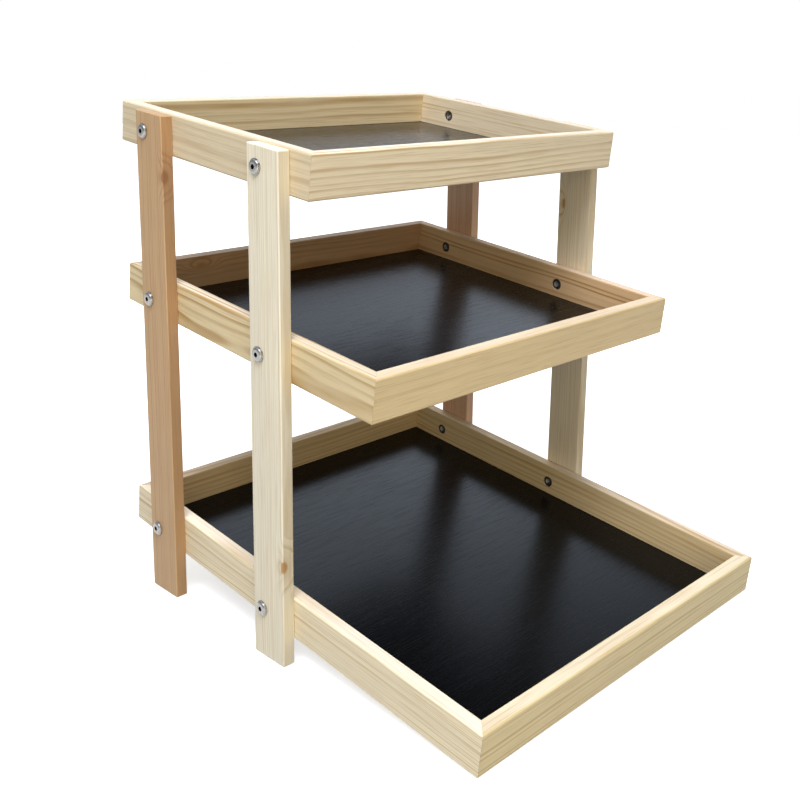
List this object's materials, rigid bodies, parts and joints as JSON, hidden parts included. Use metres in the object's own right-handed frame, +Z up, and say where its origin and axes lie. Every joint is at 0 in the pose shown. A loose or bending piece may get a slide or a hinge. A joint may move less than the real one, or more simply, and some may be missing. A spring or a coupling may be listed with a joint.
{
  "type": "tiered display stand",
  "caption": "Stepped wooden display stand: sloping mitred trays with black panels, deepest at the bottom, bolted between upright leg slats",
  "frame": {"origin": "on the floor, at the middle of the bounding box seen from above", "axes": "+X to the right of someone facing the front, -Y out of the front where the trays step down, +Z up"},
  "size_m": [0.4302, 0.459, 0.4666],
  "materials": {
    "pine_rail": "planed and sanded pale yellow pine, clear matt",
    "pale_leg": "planed and sanded pale spruce, straight grained, clear matt",
    "brown_leg": "planed and sanded tan to pinkish brown softwood, clear matt",
    "black_panel": "thin board with satin black foil, embossed with fine grain",
    "nickel_bolt": "bright nickel-plated steel",
    "zinc_insert": "zinc alloy, dull grey",
    "beech_dowel": "plain beech, unfinished"
  },
  "bodies": {
    "root": {"bottom_tray_front_rail": "pine_rail", "bottom_tray_back_rail": "pine_rail", "bottom_tray_left_rail": "pine_rail", "bottom_tray_right_rail": "pine_rail", "bottom_tray_panel": "black_panel", "middle_tray_front_rail": "pine_rail", "middle_tray_back_rail": "pine_rail", "middle_tray_left_rail": "pine_rail", "middle_tray_right_rail": "pine_rail", "middle_tray_panel": "black_panel", "top_tray_front_rail": "pine_rail", "top_tray_back_rail": "pine_rail", "top_tray_left_rail": "pine_rail", "top_tray_right_rail": "pine_rail", "top_tray_panel": "black_panel", "front_left_leg": "pale_leg", "front_right_leg": "pale_leg", "rear_left_leg": "brown_leg", "rear_right_leg": "brown_leg", "bottom_front_left_bolt": "nickel_bolt", "bottom_front_left_insert_nut": "zinc_insert", "bottom_front_left_dowel": "beech_dowel", "bottom_front_right_bolt": "nickel_bolt", "bottom_front_right_insert_nut": "zinc_insert", "bottom_front_right_dowel": "beech_dowel", "bottom_rear_left_bolt": "nickel_bolt", "bottom_rear_left_insert_nut": "zinc_insert", "bottom_rear_left_dowel": "beech_dowel", "bottom_rear_right_bolt": "nickel_bolt", "bottom_rear_right_insert_nut": "zinc_insert", "bottom_rear_right_dowel": "beech_dowel", "middle_front_left_bolt": "nickel_bolt", "middle_front_left_insert_nut": "zinc_insert", "middle_front_left_dowel": "beech_dowel", "middle_front_right_bolt": "nickel_bolt", "middle_front_right_insert_nut": "zinc_insert", "middle_front_right_dowel": "beech_dowel", "middle_rear_left_bolt": "nickel_bolt", "middle_rear_left_insert_nut": "zinc_insert", "middle_rear_left_dowel": "beech_dowel", "middle_rear_right_bolt": "nickel_bolt", "middle_rear_right_insert_nut": "zinc_insert", "middle_rear_right_dowel": "beech_dowel", "top_front_left_bolt": "nickel_bolt", "top_front_left_insert_nut": "zinc_insert", "top_front_left_dowel": "beech_dowel", "top_front_right_bolt": "nickel_bolt", "top_front_right_insert_nut": "zinc_insert", "top_front_right_dowel": "beech_dowel", "top_rear_left_bolt": "nickel_bolt", "top_rear_left_insert_nut": "zinc_insert", "top_rear_left_dowel": "beech_dowel", "top_rear_right_bolt": "nickel_bolt", "top_rear_right_insert_nut": "zinc_insert", "top_rear_right_dowel": "beech_dowel"}
  },
  "joints": []
}
